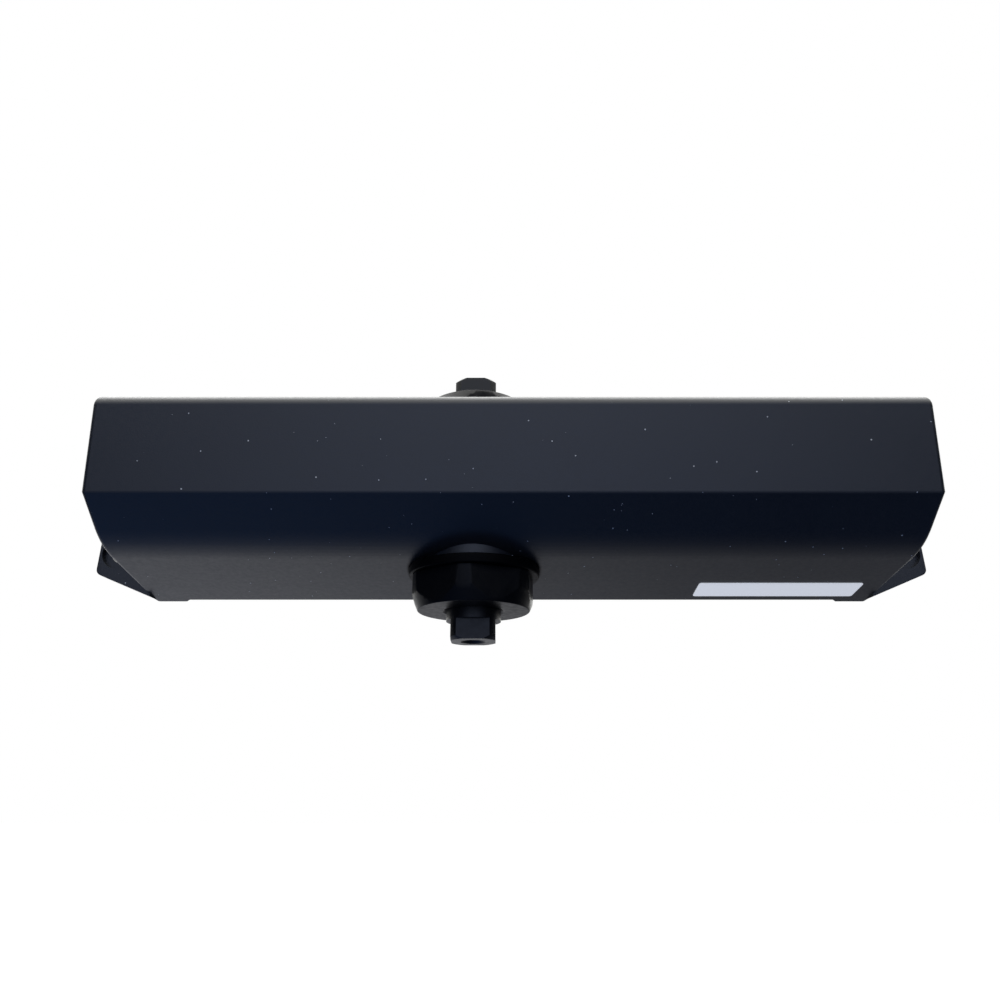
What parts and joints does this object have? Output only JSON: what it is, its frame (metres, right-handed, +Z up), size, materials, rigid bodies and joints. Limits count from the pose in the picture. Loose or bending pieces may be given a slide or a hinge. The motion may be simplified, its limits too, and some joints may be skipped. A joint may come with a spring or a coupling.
{
  "type": "door closer",
  "caption": "Slim hydraulic door closer body with a flat front panel, sloped underside, double-ended square spindle, hexagonal bearing caps and mounting ears.",
  "frame": {"origin": "centre of the four mounting holes, on the flat mounting face at the back", "axes": "+X along the body towards the spring end, -Y out of the front panel away from the door, +Z up the spindle"},
  "size_m": [0.2418, 0.0484, 0.0754],
  "materials": {
    "painted_body": "satin black paint on cast metal, faint orange peel",
    "black_steel": "satin black oxide on turned steel",
    "bearing_steel": "ground bright",
    "plain_steel": "machined",
    "spring_steel": "oil tempered dark wire",
    "zinc_steel": "bright zinc plate",
    "bronze": "machined",
    "seal_rubber": "matte moulded",
    "seal_plastic": "matte",
    "label_foil": "satin foil, blank"
  },
  "bodies": {
    "housing": {"body_casting": "painted_body", "upper_bearing_cap": "black_steel", "lower_bearing_cap": "black_steel", "upper_bearing_shell": "bearing_steel", "lower_bearing_shell": "bearing_steel", "upper_bearing_rollers": "bearing_steel", "lower_bearing_rollers": "bearing_steel", "upper_shaft_seal": "seal_rubber", "lower_shaft_seal": "seal_rubber", "upper_cap_o_ring": "seal_rubber", "lower_cap_o_ring": "seal_rubber", "adjusting_screw_o_ring": "seal_rubber", "spring_end_plug": "zinc_steel", "spring_end_plug_o_ring": "seal_rubber", "oil_fill_plug": "zinc_steel", "oil_fill_o_ring": "seal_rubber", "name_label": "label_foil", "outer_main_spring": "spring_steel", "inner_main_spring": "spring_steel"},
    "spindle": {"pinion_shaft": "black_steel", "upper_thrust_washer": "bronze", "lower_thrust_washer": "bronze"},
    "piston": {"piston_rack": "plain_steel", "piston_seal_ring": "seal_plastic", "check_valve_ball": "bearing_steel", "check_valve_retainer": "bronze"},
    "spring_seat": {"spring_seat_plate": "plain_steel"},
    "adjuster": {"spring_adjusting_screw": "zinc_steel", "adjusting_screw_clip": "spring_steel"},
    "sweep_valve": {"sweep_valve_screw": "zinc_steel", "sweep_valve_o_ring": "seal_rubber"},
    "latch_valve": {"latch_valve_screw": "zinc_steel", "latch_valve_o_ring": "seal_rubber"},
    "backcheck_valve": {"backcheck_valve_screw": "zinc_steel", "backcheck_valve_o_ring": "seal_rubber"}
  },
  "joints": [
    {"name": "spindle_turn", "type": "hinge", "parent": "housing", "child": "spindle", "pos_m": [-0.0103, -0.0194, 0], "axis": [0, 0, 1], "range_deg": [0, 180], "stiffness_Nm_per_rad": 1.8, "springref_deg": -166.16},
    {"name": "piston_slide", "type": "slide", "parent": "housing", "child": "piston", "axis": [1, 0, 0], "range_m": [0, 0.0236], "deforming": ["outer_main_spring", "inner_main_spring"]},
    {"name": "adjuster_turn", "type": "hinge", "parent": "housing", "child": "adjuster", "pos_m": [0.1, -0.0194, 0], "axis": [1, 0, 0], "range_deg": [0, 1800]},
    {"name": "spring_seat_slide", "type": "slide", "parent": "housing", "child": "spring_seat", "axis": [-1, 0, 0], "range_m": [0, 0.00625]},
    {"name": "sweep_valve_turn", "type": "hinge", "parent": "housing", "child": "sweep_valve", "pos_m": [-0.1055, -0.0379, 0.0125], "axis": [-1, 0, 0], "range_deg": [0, 720]},
    {"name": "latch_valve_turn", "type": "hinge", "parent": "housing", "child": "latch_valve", "pos_m": [-0.1055, -0.0384, 0.0015], "axis": [-1, 0, 0], "range_deg": [0, 720]},
    {"name": "backcheck_valve_turn", "type": "hinge", "parent": "housing", "child": "backcheck_valve", "pos_m": [-0.1055, -0.0095, 0.0145], "axis": [-1, 0, 0], "range_deg": [0, 720]}
  ],
  "couplings": [
    {"joint": "piston_slide", "follows": "spindle_turn", "m_per_rad": 0.0075},
    {"joint": "adjuster_turn", "follows": "spring_seat_slide", "rad_per_m": 5026.5}
  ]
}
